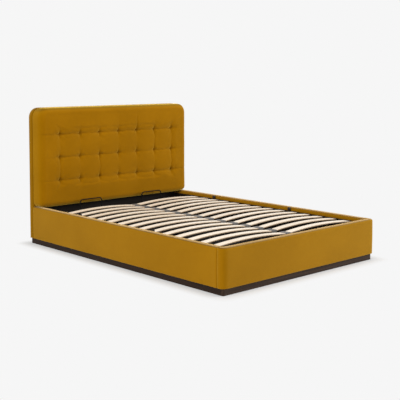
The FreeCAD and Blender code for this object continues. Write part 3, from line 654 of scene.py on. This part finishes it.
def speckled(name, dark, light, scale, rough, relief=SPECKLE_RELIEF, **sockets):
    """Fine even texture: moulded plastic, powder coat, the near-black inner faces of the rails,
    hardboard, particle board.
    """
    material, tree, shader = new_material(name, **sockets)
    place = object_coordinates(tree)
    fine = noise_of(tree, place, scale, SPECKLE_DETAIL, SPECKLE_ROUGHNESS)
    cloud = noise_of(tree, place, *CLOUD_NOISE)
    tone = weighed(tree, fine, SPECKLE_SHARE, cloud, CLOUD_SHARE)
    colour = ramp(tree, tone, ((SPECKLE_DARK_AT, dark), (SPECKLE_LIGHT_AT, light)))
    roughness = math_node(tree, "MULTIPLY_ADD", cloud, SPECKLE_ROUGHNESS_SPREAD, rough)
    tie(tree, shader, Base_Color=colour, Roughness=roughness,
        Normal=bump(tree, fine, relief, SPECKLE_RELIEF_STRENGTH))
    return material


# Bare metal
SCRATCH_SCALES = (4.0, 700.0)
SCRATCH_NOISE = (1.0, 3.0, 0.6)
SMEAR_NOISE = (22.0, 3.0, 0.5)
SMEAR_SHADE = 0.82
SMEAR_DARK_AT = 0.35
SMEAR_LIGHT_AT = 0.7
SMEAR_ROUGHNESS_SPREAD = 0.16
SCRATCH_RELIEF = 0.1 * MM
SCRATCH_RELIEF_STRENGTH = 0.3


def bare_metal(name, colour, rough, scratch_axis):
    """Plated or polished steel with fine drawn scratches and faint smears."""
    material, tree, shader = new_material(name, Metallic=1.0)
    scratch = noise_of(tree, stretched(tree, scratch_axis, SCRATCH_SCALES), *SCRATCH_NOISE)
    smear = noise_of(tree, object_coordinates(tree), *SMEAR_NOISE)
    darker = tuple(SMEAR_SHADE * c for c in colour)
    shade = ramp(tree, smear, ((SMEAR_DARK_AT, darker), (SMEAR_LIGHT_AT, colour)))
    roughness = math_node(tree, "MULTIPLY_ADD", smear, SMEAR_ROUGHNESS_SPREAD, rough)
    tie(tree, shader, Base_Color=shade, Roughness=roughness,
        Normal=bump(tree, scratch, SCRATCH_RELIEF, SCRATCH_RELIEF_STRENGTH))
    return material


# Every material by its name, with its dark and light colours and its gloss
MATERIALS = {
    "rail_velvet": velvet("rail_velvet", (0.238, 0.101, 0.0008), (0.276, 0.120, 0.0014), 1.0,
                          (1.0, 0.67, 0.14), WHITE),
    # The pad's forward shade tint is painted shade on its front face
    "pad_velvet": velvet("pad_velvet", (0.240, 0.103, 0.0006), (0.286, 0.125, 0.0014), 0.8,
                         (1.0, 0.67, 0.11), (0.95, 0.90, 0.74)),
    # A darker copy of the velvet for the backing: painted shade on the narrow strip beside the pad
    "shaded_back_velvet": velvet("shaded_back_velvet", (0.200, 0.086, 0.0006), (0.236, 0.103, 0.0012), 0.75,
                          (1.0, 0.67, 0.12), WHITE),
    # A copy of the velvet for faces that look up, its sheen weaker and bluer: painted highlight tone for
    # the tops
    "top_velvet": velvet("top_velvet", (0.238, 0.101, 0.0008), (0.276, 0.120, 0.0014), 0.72,
                         (1.0, 0.70, 0.33), WHITE),
    "inner_black": speckled("inner_black", (0.008, 0.005, 0.003), (0.014, 0.009, 0.006), 700.0, 0.85,
                       Specular_IOR_Level=0.12),
    "slat_wood": slat_wood(),
    "plinth_along": long_wood("plinth_along", (0.008, 0.0036, 0.0014), (0.027, 0.0125, 0.0055),
                              Y_AXIS, 0.5),
    "plinth_across": long_wood("plinth_across", (0.015, 0.007, 0.0035), (0.047, 0.025, 0.014),
                               X_AXIS, 0.5),
    "pine": long_wood("pine", (0.48, 0.31, 0.17), (0.66, 0.48, 0.30), Y_AXIS, 0.55),
    "particle_board": speckled("particle_board", (0.30, 0.21, 0.13), (0.50, 0.38, 0.26), 420.0, 0.8),
    "black_board": speckled("black_board", (0.011, 0.0075, 0.0055), (0.019, 0.014, 0.011), 500.0, 0.7,
                            Specular_IOR_Level=0.12),
    "black_steel": speckled("black_steel", (0.004, 0.003, 0.0025), (0.007, 0.0055, 0.0045), 900.0, 0.5,
                            POWDER_COAT_RELIEF, Specular_IOR_Level=0.08),
    "grey_plastic": speckled("grey_plastic", (0.105, 0.096, 0.088), (0.185, 0.171, 0.158), 800.0, 0.5,
                             Specular_IOR_Level=0.25),
    "black_plastic": speckled("black_plastic", (0.012, 0.008, 0.006), (0.024, 0.017, 0.013), 800.0, 0.5,
                              Specular_IOR_Level=0.2),
    "rubber": speckled("rubber", (0.010, 0.010, 0.010), (0.022, 0.022, 0.022), 600.0, 0.75),
    "zinc": bare_metal("zinc", (0.62, 0.62, 0.63), 0.30, X_AXIS),
    "chrome": bare_metal("chrome", (0.78, 0.78, 0.79), 0.08, Y_AXIS),
}

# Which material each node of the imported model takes, by the start of its name. The first entry
# that fits counts, and the other nodes are black steel.
NODE_MATERIALS = (
    ("slats", "slat_wood"),
    ("slat_holders_centre", "grey_plastic"),
    ("slat_holders", "black_plastic"),
    ("side_buffers", "black_plastic"),
    ("tube_caps", "black_plastic"),
    ("rest_pads", "rubber"),
    ("plinth_side", "plinth_along"),
    ("plinth", "plinth_across"),
    ("floor_batten", "pine"),
    ("centre_bearer", "pine"),
    ("bearer_feet", "pine"),
    ("floor_panel", "black_board"),
    ("head_liner", "black_board"),
    ("side_rail_core", "particle_board"),
    ("foot_rail_core", "particle_board"),
    ("headboard_backing_core", "particle_board"),
    ("strut_rod", "chrome"),
    ("base_pins", "zinc"),
    ("platform_pins", "zinc"),
    ("bracket_bolts", "zinc"),
    ("corner_bolts", "zinc"),
    ("lift_plate_screws", "zinc"),
)


def dress_nodes():
    for name, node in nodes.items():
        wanted = [material for start, material in NODE_MATERIALS if name.startswith(start)]
        node.data.materials.clear()
        node.data.materials.append(MATERIALS[wanted[0] if wanted else "black_steel"])


def cover(piece, node, material):
    """Makes a piece the velvet cover that stands for a node of the base."""
    piece.data.materials.append(MATERIALS[material])
    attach(piece, "base")
    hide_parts(node)


def paint_faces(piece, material, wanted):
    """Gives the faces for which wanted(face) is true another material."""
    piece.data.materials.append(MATERIALS[material])
    number = len(piece.data.materials) - 1
    for face in piece.data.polygons:
        if wanted(face):
            face.material_index = number


def tone_top_highlight(piece):
    """Gives the faces that look up a copy of the velvet with weaker, bluer sheen, a painted change that
    tones their highlight into a paler, dimmer line.
    """
    paint_faces(piece, "top_velvet", lambda face: face.normal.z > TOP_FACING)


# Upholstered rails
def crown(points, low, high):
    """How far a padded face stands out: nothing at its top and bottom, most in the middle."""
    share = np.clip((points[:, 2] - low.z) / (high.z - low.z), 0, 1)
    return 4 * share * (1 - share)


def plump(piece, points, low, high, out_axis, layers):
    """Moves a rail's cover to the points, crowns its faces that look along one axis, and adds
    the lumps of its padding."""
    write_points(piece.data, points)
    faces_out = np.abs(read_normals(piece.data)[:, out_axis])
    swell(piece, RAIL_CROWN * crown(points, low, high) * faces_out + LUMP_HEIGHT * lumps(points, layers))


def blacken_inside(piece, top, inward):
    """Makes the inner face of a rail near black, from below the platform's level down."""
    paint_faces(piece, "inner_black",
                lambda face: inward(face.normal) > INNER_BLACK_FACING and face.center.z < top - INNER_BLACK_DROP)


def side_rail_cover(side):
    low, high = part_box("side_rail_cover_" + side)
    rail_fine = insets(RAIL_EDGE_RADIUS, RAIL_EDGE_SHARES)
    seam_fine = insets(SEAM_RADIUS, SEAM_EDGE_SHARES)

    def edge_radius(u, v, nearest, sw):
        wide = RAIL_EDGE_RADIUS if sw > 0 else HEM_RADIUS
        at_foot = v < (low.y + high.y) / 2
        return np.where(nearest == 0, wide, np.where(at_foot, SEAM_RADIUS, HEM_RADIUS))

    piece = rail_block("rail_velvet_" + side, low, high, RAIL_STEPS, (rail_fine, seam_fine, rail_fine),
                       lambda su, sv: SEAM_RADIUS if sv < 0 else HEM_RADIUS, edge_radius)
    points = read_points(piece.data)
    from_inside = np.abs(points[:, 0]) - min(abs(low.x), abs(high.x))
    near_seam = np.clip(1 - (points[:, 1] - low.y) / SIDE_PUFF_LENGTH, 0, 1) ** 2
    points[:, 0] += np.sign(points[:, 0]) * SEAM_PUFF * near_seam * from_inside / (high.x - low.x)
    plump(piece, points, low, high, X_AXIS, RAIL_LUMPS)
    cover(piece, "side_rail_cover_" + side, "rail_velvet")
    blacken_inside(piece, high.z, lambda normal: -normal.x if side == "right" else normal.x)
    tone_top_highlight(piece)


def foot_rail_cover():
    """The foot rail's cover, with its rounded corners. It ends at the seams outside the side
    rails and reaches past them, as a lip, between the rails."""
    low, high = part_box("foot_rail_cover")
    rail_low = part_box("side_rail_cover_right")[0]
    lip = high.y - rail_low.y
    seam = Vector((high.x, rail_low.y + SEAM_LAP, high.z))
    fine = insets(RAIL_EDGE_RADIUS, RAIL_EDGE_SHARES)

    def edge_radius(u, v, nearest, sw):
        wide = RAIL_EDGE_RADIUS if sw > 0 else HEM_RADIUS
        butt = (nearest == 1) & (v > (low.y + seam.y) / 2) & (np.abs(u) > rail_low.x)
        return np.where(butt, FOOT_SEAM_RADIUS if sw > 0 else HEM_RADIUS, wide)

    piece = rail_block("foot_velvet", low, seam, FOOT_RAIL_STEPS, (fine, fine, fine),
                       lambda su, sv: FOOT_CORNER_RADIUS if sv < 0 else FOOT_SEAM_RADIUS, edge_radius)
    points = read_points(piece.data)
    between = np.clip((rail_low.x - np.abs(points[:, 0])) / LIP_SIDE_FADE, 0, 1)
    points[:, 1] += lip * between * np.clip(1 - (seam.y - points[:, 1]) / LIP_LENGTH, 0, 1)
    near_seam = np.clip(1 - (seam.y - points[:, 1]) / FOOT_PUFF_LENGTH, 0, 1) ** 2
    points[:, 0] += points[:, 0] / high.x * SEAM_PUFF * near_seam
    plump(piece, points, low, high, Y_AXIS, FOOT_LUMPS)
    cover(piece, "foot_rail_cover", "rail_velvet")
    blacken_inside(piece, high.z, lambda normal: normal.y)
    tone_top_highlight(piece)


# Headboard backing
def backing_cover():
    low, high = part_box("headboard_backing_cover")
    fine = insets(BACKING_FRONT_RADIUS, BACKING_EDGE_SHARES)

    def edge_radius(u, v, nearest, sw):
        bottom = (nearest == 1) & (v < (low.z + high.z) / 2)
        return np.where(bottom, HEM_RADIUS, BACKING_FRONT_RADIUS if sw > 0 else BACKING_EDGE_RADIUS)

    piece = upright_block("backing_velvet", low, high, BACKING_STEPS, (fine, fine, fine),
                          lambda su, sv: BACKING_CORNER_RADIUS if sv > 0 else HEM_RADIUS, edge_radius)
    swell(piece, LUMP_HEIGHT * lumps(read_points(piece.data), BACKING_LUMPS))
    # The backing takes the darker copy of the velvet, which is painted shade
    cover(piece, "headboard_backing_cover", "shaded_back_velvet")
    tone_top_highlight(piece)


# Tufted pad
def tuft_places():
    first = -(TUFT_COLUMNS - 1) / 2
    return [((first + n) * TUFT_PITCH_ACROSS, z) for z in TUFT_ROWS for n in range(TUFT_COLUMNS)]


def tuft_distance(x, z):
    """Distance to the nearest tuft, counted shorter straight along and across the rows, so that
    what fades with it is drawn out into a star."""
    near = np.full(len(x), np.inf)
    for tuft_x, tuft_z in tuft_places():
        off_x = x - tuft_x
        off_z = z - tuft_z
        star = 1 + TUFT_STAR_SHARE * np.cos(4 * np.arctan2(off_z, off_x))
        near = np.minimum(near, np.hypot(off_x, off_z) / star)
    return near


def fold_profile(away, depth):
    """A soft crease with a slightly raised rim on both sides."""
    crease = np.exp(-(away / FOLD_WIDTH) ** FOLD_POWER)
    rim = np.exp(-((away - FOLD_RIM_PLACE) / FOLD_RIM_WIDTH) ** 2)
    return depth * (crease - FOLD_RIM_SHARE * rim)


def wandered(places, along, waves):
    """Places pushed to and fro by waves that run along the other direction."""
    for depth, pace, phase in waves:
        places = places + depth * np.sin(along * pace + phase)
    return places


def fold_depth(x, z):
    """Depth of the folds that run from tuft to tuft, each stretch with a strength of its own."""
    along = np.array(ALONG_SHARES)
    down = np.array(DOWN_SHARES)
    column = wandered(x, z, WANDER_ACROSS) / TUFT_PITCH_ACROSS + (TUFT_COLUMNS - 1) / 2
    row = (TUFT_ROWS[0] - wandered(z, x, WANDER_DOWN)) / TUFT_PITCH_DOWN
    near_row = np.clip(np.round(row), 0, len(TUFT_ROWS) - 1).astype(int)
    near_column = np.clip(np.round(column), 0, TUFT_COLUMNS - 1).astype(int)
    stretch_along = np.clip(np.floor(column) + 1, 0, TUFT_COLUMNS).astype(int)
    stretch_down = np.clip(np.floor(row) + 1, 0, len(TUFT_ROWS)).astype(int)
    from_row = np.abs(row - near_row) * TUFT_PITCH_DOWN
    from_column = np.abs(column - near_column) * TUFT_PITCH_ACROSS
    near_tuft = np.exp(-(tuft_distance(x, z) / FOLD_TUFT_REACH) ** 2)
    fade = FOLD_MIDDLE_SHARE + (1 - FOLD_MIDDLE_SHARE) * near_tuft
    across = fold_profile(from_row, FOLD_DEPTH_ALONG) * along[near_row, stretch_along]
    upright = fold_profile(from_column, FOLD_DEPTH) * down[stretch_down, near_column]
    end = np.clip(1 - (from_row - FOLD_DOWN_LENGTH) / FOLD_DOWN_FADE, 0, 1)
    return fade * (across + upright * end)


def pad_block(low, high):
    """The pad before it is filled: widest at its back, and hanging between the rails."""
    fine = insets(PAD_EDGE_RADIUS, PAD_EDGE_SHARES)

    def edge_radius(u, v, nearest, sw):
        upper = np.clip((v - low.z) / PAD_LOWER_HEIGHT, 0, 1)
        front = PAD_LOWER_EDGE_RADIUS + (PAD_EDGE_RADIUS - PAD_LOWER_EDGE_RADIUS) * upper
        return front if sw > 0 else np.full(len(u), PAD_BACK_RADIUS)

    piece = upright_block("tufted_pad", low, high, (PAD_GRID,) * 3, (fine,) * 3,
                          lambda su, sv: PAD_TOP_RADIUS if sv > 0 else PAD_BOTTOM_RADIUS, edge_radius)
    points = read_points(piece.data)
    towards_front = np.clip((high.y - points[:, 1]) / (high.y - low.y), 0, 1)
    points[:, 0] *= 1 - PAD_TAPER / high.x * towards_front ** PAD_TAPER_POWER
    rail_x = abs(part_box("side_rail_cover_right")[0].x)
    between = np.clip((rail_x - PAD_RAIL_GAP - np.abs(points[:, 0])) / PAD_RAIL_FADE, 0, 1)
    lowest = np.clip(1 - (points[:, 2] - low.z) / PAD_HANG_HEIGHT, 0, 1)
    share = PAD_HANG_BACK_SHARE + (1 - PAD_HANG_BACK_SHARE) * towards_front
    points[:, 2] -= PAD_HANG * between * lowest * share
    write_points(piece.data, points)
    return piece


def blow_up(piece, cut, held, most):
    """Fills a closed cover like a cushion. Its cloth is cut to the points given, the held points
    stay where they are, and no point moves further than the most."""
    start = read_points(piece.data)
    piece.shape_key_add(name="start")
    piece.shape_key_add(name="cut").data.foreach_set("co", cut.ravel())
    piece.vertex_groups.new(name="held").add([int(n) for n in np.flatnonzero(held)], 1.0, "REPLACE")
    cloth = piece.modifiers.new("cloth", "CLOTH")
    settings = cloth.settings
    settings.quality = 6
    settings.mass = 0.25
    settings.tension_stiffness = 20
    settings.compression_stiffness = 20
    settings.shear_stiffness = 10
    settings.bending_stiffness = 1.0
    settings.vertex_group_mass = "held"
    settings.rest_shape_key = piece.data.shape_keys.key_blocks["cut"]
    settings.use_pressure = True
    settings.uniform_pressure_force = PAD_PRESSURE
    settings.effector_weights.gravity = 0
    cloth.collision_settings.use_collision = False
    cloth.point_cache.frame_start = 1
    cloth.point_cache.frame_end = PAD_FRAMES
    for number in range(1, PAD_FRAMES + 1):
        scene.frame_set(number)
    graph = bpy.context.evaluated_depsgraph_get()
    filled = piece.evaluated_get(graph).to_mesh()
    step = read_points(filled) - start
    piece.evaluated_get(graph).to_mesh_clear()
    piece.modifiers.clear()
    piece.shape_key_clear()
    piece.vertex_groups.clear()
    scene.frame_set(1)
    length = np.maximum(np.linalg.norm(step, axis=1), LEAST_LENGTH)
    write_points(piece.data, start + step * np.minimum(1, most / length)[:, None])


def fill_pad(piece, low, high):
    """Presses the tufts in and fills the pad between them."""
    flat = read_points(piece.data)
    front = np.clip((low.y + FILL_FRONT_REACH - flat[:, 1]) / FILL_FRONT_FADE, 0, 1)
    near = tuft_distance(flat[:, 0], flat[:, 2])
    start = flat.copy()
    start[:, 1] += TUFT_DEPTH * np.exp(-(near / TUFT_REACH) ** TUFT_POWER) * front
    write_points(piece.data, start)
    from_side = high.x - np.abs(flat[:, 0])
    from_rim = np.minimum(from_side, np.minimum(high.z - flat[:, 2], flat[:, 2] - low.z))
    most = PAD_FILL * (1 - FILL_TUFT_SHARE * np.exp(-(near / FILL_TUFT_REACH) ** 2))
    most *= np.clip((from_rim - FILL_RIM) / FILL_RIM_FADE, 0, 1)
    on_tuft = (near < HELD_TUFT_RADIUS) & (front > HELD_FRONT_SHARE)
    blow_up(piece, flat, (flat[:, 1] > low.y + HELD_DEPTH) | on_tuft, most)


def fold_pad(piece, low):
    """Presses the folds in and stores a mask of painted shade around the tufts and along the folds, which
    the velvet darkens.
    """
    points = read_points(piece.data)
    front = np.clip((low.y + FOLD_FRONT_REACH - points[:, 1]) / FOLD_FRONT_FADE, 0, 1)
    folds = fold_depth(points[:, 0], points[:, 2]) * front
    points[:, 1] += folds
    write_points(piece.data, points)
    # The mask of painted shade: strongest at the tufts, weaker along the folds
    tufts = np.exp(-(tuft_distance(points[:, 0], points[:, 2]) / CREASE_SHADE_REACH) ** CREASE_SHADE_POWER)
    crease_shade = np.clip(np.maximum(tufts * front, CREASE_SHADE_FOLD_SHARE * folds / FOLD_DEPTH), 0, 1)
    piece.data.attributes.new("crease_shade", "FLOAT", "POINT").data.foreach_set("value", crease_shade)
    return points


def tufted_pad():
    low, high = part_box("headboard_pad")
    block_low = low + Vector((-PAD_SPREAD, PAD_FILL, 0))
    block_high = high + Vector((PAD_SPREAD, -PAD_BACK_GAP, 0))
    piece = pad_block(block_low, block_high)
    fill_pad(piece, low, high)
    subdivide(piece)
    points = fold_pad(piece, low)
    off_back = points[:, 1] < high.y - PAD_SMOOTH_BACK
    swell(piece, PAD_LUMP_HEIGHT * lumps(points, PAD_LUMPS) * off_back)
    cover(piece, "headboard_pad", "pad_velvet")


# Stage, light and camera
def seen_rays(tree):
    """1 for the rays of the camera and for those that it sees by reflection or through glass."""
    path = add(tree, "ShaderNodeLightPath").outputs
    straight = math_node(tree, "MAXIMUM", path["Is Camera Ray"], path["Is Transmission Ray"])
    return math_node(tree, "MAXIMUM", straight, path["Is Glossy Ray"])


def backdrop_world():
    """Soft light for the bed, and the plain backdrop for what the camera sees."""
    world = bpy.data.worlds.new("studio")
    scene.world = world
    world.use_nodes = True
    tree = world.node_tree
    tree.nodes.clear()
    soft = add(tree, "ShaderNodeBackground", {"Color": (*WHITE, 1), "Strength": WORLD_STRENGTH})
    plain = add(tree, "ShaderNodeBackground", {"Color": (*BACKDROP, 1), "Strength": 1.0})
    mix = add(tree, "ShaderNodeMixShader", {0: seen_rays(tree), 1: soft.outputs[0], 2: plain.outputs[0]})
    output = add(tree, "ShaderNodeOutputWorld")
    tree.links.new(mix.outputs[0], output.inputs["Surface"])


def footprint_distance(tree):
    """Distance on the floor from the footprint of the bed."""
    half = (cad_bounds[1] - cad_bounds[0]) / 2
    place = vector_math(tree, "ABSOLUTE", object_coordinates(tree))
    past = vector_math(tree, "SUBTRACT", place, (half.x, half.y, 0))
    past = vector_math(tree, "MAXIMUM", past)
    return vector_math(tree, "LENGTH", past, output="Value")


def floor():
    """A pale floor that takes the shadow close to the bed and fades into the backdrop."""
    corners = [(-FLOOR_HALF, -FLOOR_HALF, 0), (FLOOR_HALF, -FLOOR_HALF, 0),
               (FLOOR_HALF, FLOOR_HALF, 0), (-FLOOR_HALF, FLOOR_HALF, 0)]
    piece = make_mesh("floor", corners, [(0, 1, 2, 3)], False)
    material = bpy.data.materials.new("pale_floor")
    material.use_nodes = True
    tree = material.node_tree
    tree.nodes.clear()
    paint = add(tree, "ShaderNodeBsdfDiffuse", {"Color": (*FLOOR_PAINT, 1)})
    plain = add(tree, "ShaderNodeEmission", {"Color": (*BACKDROP, 1), "Strength": 1.0})
    fade_range = {"Value": footprint_distance(tree), "From Min": 0.0, "From Max": SHADOW_REACH,
                  "To Min": SHADOW_SHARE, "To Max": 1.0}
    fade = add(tree, "ShaderNodeMapRange", fade_range, interpolation_type="SMOOTHSTEP").outputs["Result"]
    seen = math_node(tree, "MULTIPLY", seen_rays(tree), fade)
    mix = add(tree, "ShaderNodeMixShader", {0: seen, 1: paint.outputs[0], 2: plain.outputs[0]})
    output = add(tree, "ShaderNodeOutputMaterial")
    tree.links.new(mix.outputs[0], output.inputs["Surface"])
    piece.data.materials.append(material)


def area_light(name, place, target, size, watts):
    data = bpy.data.lights.new(name, "AREA")
    data.shape = "RECTANGLE"
    data.size, data.size_y = size
    data.energy = watts
    lamp = bpy.data.objects.new(name, data)
    lamp.location = place
    lamp.rotation_euler = (Vector(target) - Vector(place)).to_track_quat("-Z", "Y").to_euler()
    scene.collection.objects.link(lamp)


def camera():
    data = bpy.data.cameras.new("camera")
    data.sensor_width = SENSOR_WIDTH
    data.lens = FOCAL_PIXELS / PHOTO_PIXELS * SENSOR_WIDTH
    data.shift_y = (PRINCIPAL_ROW - PHOTO_PIXELS / 2) / PHOTO_PIXELS
    data.clip_start = CLIP_START
    data.clip_end = CLIP_END
    viewer = bpy.data.objects.new("camera", data)
    viewer.location = CAMERA_PLACE
    look = Vector((math.sin(CAMERA_YAW) * math.cos(CAMERA_PITCH),
                   math.cos(CAMERA_YAW) * math.cos(CAMERA_PITCH), -math.sin(CAMERA_PITCH)))
    viewer.rotation_euler = look.to_track_quat("-Z", "Y").to_euler()
    scene.collection.objects.link(viewer)
    scene.camera = viewer
    scene.view_settings.view_transform = "Standard"


dress_nodes()
side_rail_cover("left")
side_rail_cover("right")
foot_rail_cover()
backing_cover()
tufted_pad()
backdrop_world()
floor()
for light in LIGHTS:
    area_light(*light)
camera()

bpy.context.view_layer.update()
